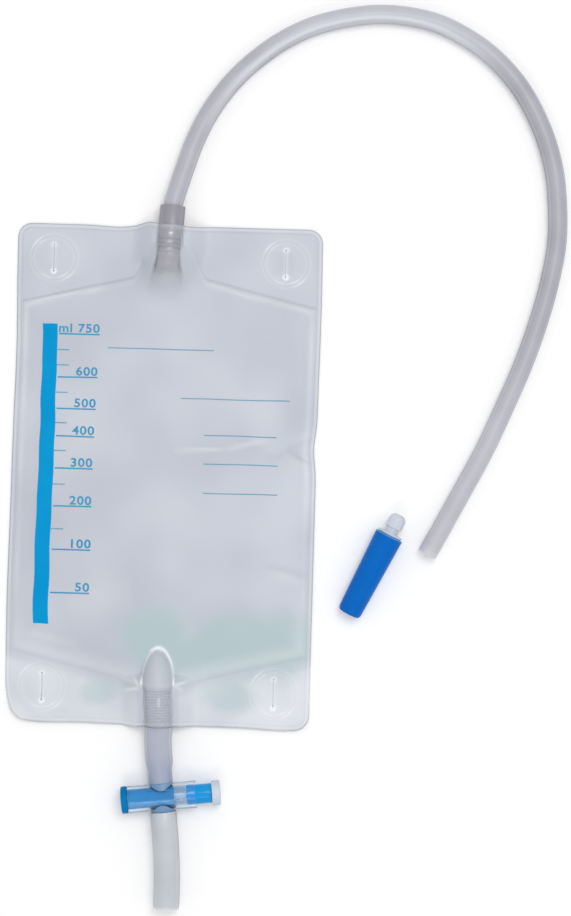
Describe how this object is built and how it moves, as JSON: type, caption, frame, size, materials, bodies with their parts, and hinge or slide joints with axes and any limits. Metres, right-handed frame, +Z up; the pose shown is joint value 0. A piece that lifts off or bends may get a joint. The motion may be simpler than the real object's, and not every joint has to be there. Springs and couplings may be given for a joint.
{
  "type": "urine drainage bag",
  "caption": "Flat film leg bag for urine with an inlet tube, a slide drain tap with its outlet tube, strap slits in the corners and a capped catheter connector beside it.",
  "frame": {"origin": "middle of the bag's back film, on the plane that the bag lies on", "axes": "+X across the bag towards the tap's knob, +Y along the bag towards the inlet, +Z up out of the printed face"},
  "size_m": [0.2734, 0.4537, 0.0152],
  "materials": {
    "film": "soft embossed film",
    "port": "soft clear plastic",
    "soft_tube": "soft clear plastic",
    "drain_tube": "soft frosted plastic",
    "clear_plastic": "clear moulded plastic",
    "tap_blue": "smooth moulded plastic",
    "cap_blue": "smooth moulded plastic",
    "white_plastic": "satin moulded plastic"
  },
  "bodies": {
    "bag": {"back_film": "film", "front_film": "film", "inlet_port": "port", "non_return_valve": "film", "inlet_tube": "soft_tube", "outlet_tube": "port", "tap_body": "clear_plastic", "drain_tube": "drain_tube", "connector_cap": "cap_blue"},
    "tap_slider": {"tap_piston": "tap_blue", "tap_collar": "tap_blue", "tap_spindle": "white_plastic"},
    "connector": {"catheter_connector": "white_plastic"}
  },
  "joints": [
    {"name": "tap_slide", "type": "slide", "parent": "bag", "child": "tap_slider", "axis": [-0.994, -0.1097, 0], "range_m": [0, 0.0077]},
    {"name": "connector_pull", "type": "slide", "parent": "bag", "child": "connector", "axis": [0.4351, 0.9, 0.0283], "range_m": [0, 0.04]}
  ]
}
